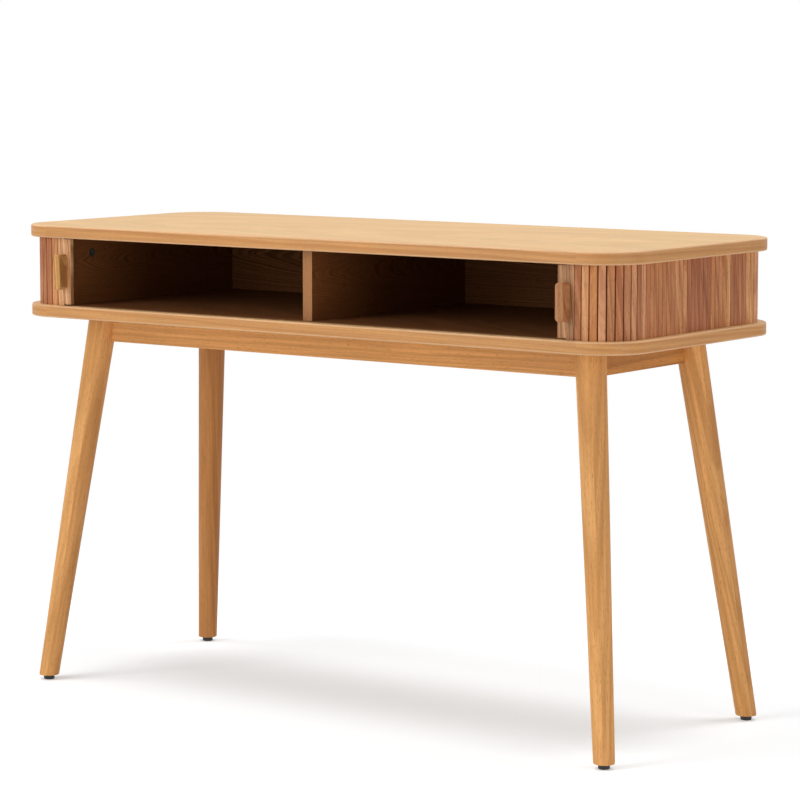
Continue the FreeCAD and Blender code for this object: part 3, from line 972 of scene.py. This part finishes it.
# The left pull has the first tone, the right one the second.
pull_oak = wood(
    "oak_pull", light=("#DCA664", "#CA9061"), dark="#B49480", pore="#744A2A", ring=0.004, pith=0.03,
    figure=0.7, streak=0.2, roughness=0.5, gloss=0.2,
)
for hand, side in doors:
    low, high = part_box(hand + "_handle")
    shape = bmesh.new()
    add_block(shape, low, high)
    corners = [edge for edge in shape.edges if abs(edge_run(edge).y) > tolerance]
    bmesh.ops.bevel(
        shape, geom=corners, offset=pull_corner, affect="EDGES", segments=8, profile=0.5, material=-1
    )
    rim = [edge for edge in shape.edges if all(vert.co.y < low.y + tolerance for vert in edge.verts)]
    bmesh.ops.bevel(
        shape, geom=rim, offset=pull_round, affect="EDGES", segments=5, profile=0.5, material=-1
    )
    plank = Matrix.Translation(pull_plank + pull_apart * side) @ upright
    read_grain(shape, plank, board_tone=max(side, 0))
    pull = finish_piece(hand + "_pull", shape, "stile_oak", pull_oak)
    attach(pull, hand + "_door")
    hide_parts(hand + "_handle")


# Top panel: the same veneered board as the bottom one, turned over so that its track is in the underside.
# The cam bolts in it draw it down onto the inner boards.
veneered_panel("top_board", "top_panel", tracked=-1, leaf=0.2)


# Studio: a plain pale floor that keeps the desk's soft shadow and fades to white, under two softboxes
# overhead, a large softbox at the front left, and weak fills low in front and beside the right end.
floor_half = 6.0
fade_starts = 1.0
fade_ends = 1.8
floor_glow = 0.38
room_light = 0.3


def seen_ray(tree):
    """Whether a ray comes from the camera, or off a shiny or clear surface."""
    ray = add_node(tree, "ShaderNodeLightPath", {})
    mirrored = add_node(
        tree, "ShaderNodeMath", {0: ray.outputs["Is Glossy Ray"], 1: ray.outputs["Is Transmission Ray"]},
        operation="MAXIMUM",
    )
    seen = add_node(
        tree, "ShaderNodeMath", {0: ray.outputs["Is Camera Ray"], 1: mirrored.outputs[0]},
        operation="MAXIMUM",
    )
    return seen.outputs[0]


shape = bmesh.new()
bmesh.ops.create_grid(shape, x_segments=1, y_segments=1, size=floor_half)
floor_mesh = bpy.data.meshes.new("floor")
shape.to_mesh(floor_mesh)
shape.free()
floor = bpy.data.objects.new("floor", floor_mesh)
bpy.context.scene.collection.objects.link(floor)
floor_paint = bare_finish("matt_white_floor")
tree = floor_paint.node_tree
place = add_node(tree, "ShaderNodeTexCoord", {}).outputs["Object"]
away = add_node(tree, "ShaderNodeVectorMath", {0: place}, operation="LENGTH")
fade = add_node(
    tree, "ShaderNodeMapRange",
    {"Value": away.outputs["Value"], "From Min": fade_starts, "From Max": fade_ends},
    interpolation_type="SMOOTHSTEP",
)
bounce = add_node(tree, "ShaderNodeBsdfDiffuse", {"Color": linear("#DCDCDC")})
lit = add_node(tree, "ShaderNodeBsdfDiffuse", {"Color": linear("#ECF0F3")})
glow = add_node(tree, "ShaderNodeEmission", {"Strength": floor_glow})
shadowed = add_node(tree, "ShaderNodeAddShader", {0: lit.outputs[0], 1: glow.outputs[0]})
white = add_node(tree, "ShaderNodeEmission", {"Strength": 1.0})
sheet = add_node(
    tree, "ShaderNodeMixShader", {0: fade.outputs["Result"], 1: shadowed.outputs[0], 2: white.outputs[0]}
)
surface = add_node(
    tree, "ShaderNodeMixShader", {0: seen_ray(tree), 1: bounce.outputs[0], 2: sheet.outputs[0]}
)
add_node(tree, "ShaderNodeOutputMaterial", {"Surface": surface.outputs[0]})
floor_mesh.materials.append(floor_paint)

world = bpy.data.worlds.new("studio")
bpy.context.scene.world = world
world.use_nodes = True
tree = world.node_tree
tree.nodes.clear()
room = add_node(tree, "ShaderNodeBackground", {"Strength": room_light})
backdrop = add_node(tree, "ShaderNodeBackground", {"Color": (1, 1, 1, 1), "Strength": 1.0})
either = add_node(
    tree, "ShaderNodeMixShader", {0: seen_ray(tree), 1: room.outputs[0], 2: backdrop.outputs[0]}
)
add_node(tree, "ShaderNodeOutputWorld", {"Surface": either.outputs[0]})

lamps = (
    ("overhead_front", (-1.2, -1.05, 5.0), 1.4, 86.0),
    ("overhead_back", (1.2, 1.05, 5.0), 1.4, 86.0),
    ("front_softbox", (-1.7, -3.9, 2.2), 2.4, 64.0),
    ("low_front_fill", (0.0, -2.8, 0.45), 1.8, 12.0),
    ("right_fill", (3.5, -0.85, 0.75), 1.4, 25.0),
)
for name, place, width, power in lamps:
    light = bpy.data.lights.new(name, "AREA")
    light.size = width
    light.energy = power
    lamp = bpy.data.objects.new(name, light)
    bpy.context.scene.collection.objects.link(lamp)
    lamp.location = place
    aim = Vector((0, 0, bottom_low.z)) - Vector(place)
    lamp.rotation_euler = aim.to_track_quat("-Z", "Y").to_euler()


# Camera: a long lens from the front right, a little above the desk top. Its place and turn were fitted to the
# desk's panel edges, corners and feet.
camera = bpy.data.cameras.new("camera")
camera.sensor_width = 36.0
camera.lens = 141.782
viewpoint = bpy.data.objects.new("camera", camera)
bpy.context.scene.collection.objects.link(viewpoint)
viewpoint.location = (3.04003, -4.10711, 1.09250)
look_down = 0.11620
look_left = 0.63297
viewpoint.rotation_euler = (quarter_turn - look_down, 0, look_left)
bpy.context.scene.camera = viewpoint
bpy.context.scene.view_settings.view_transform = "Standard"
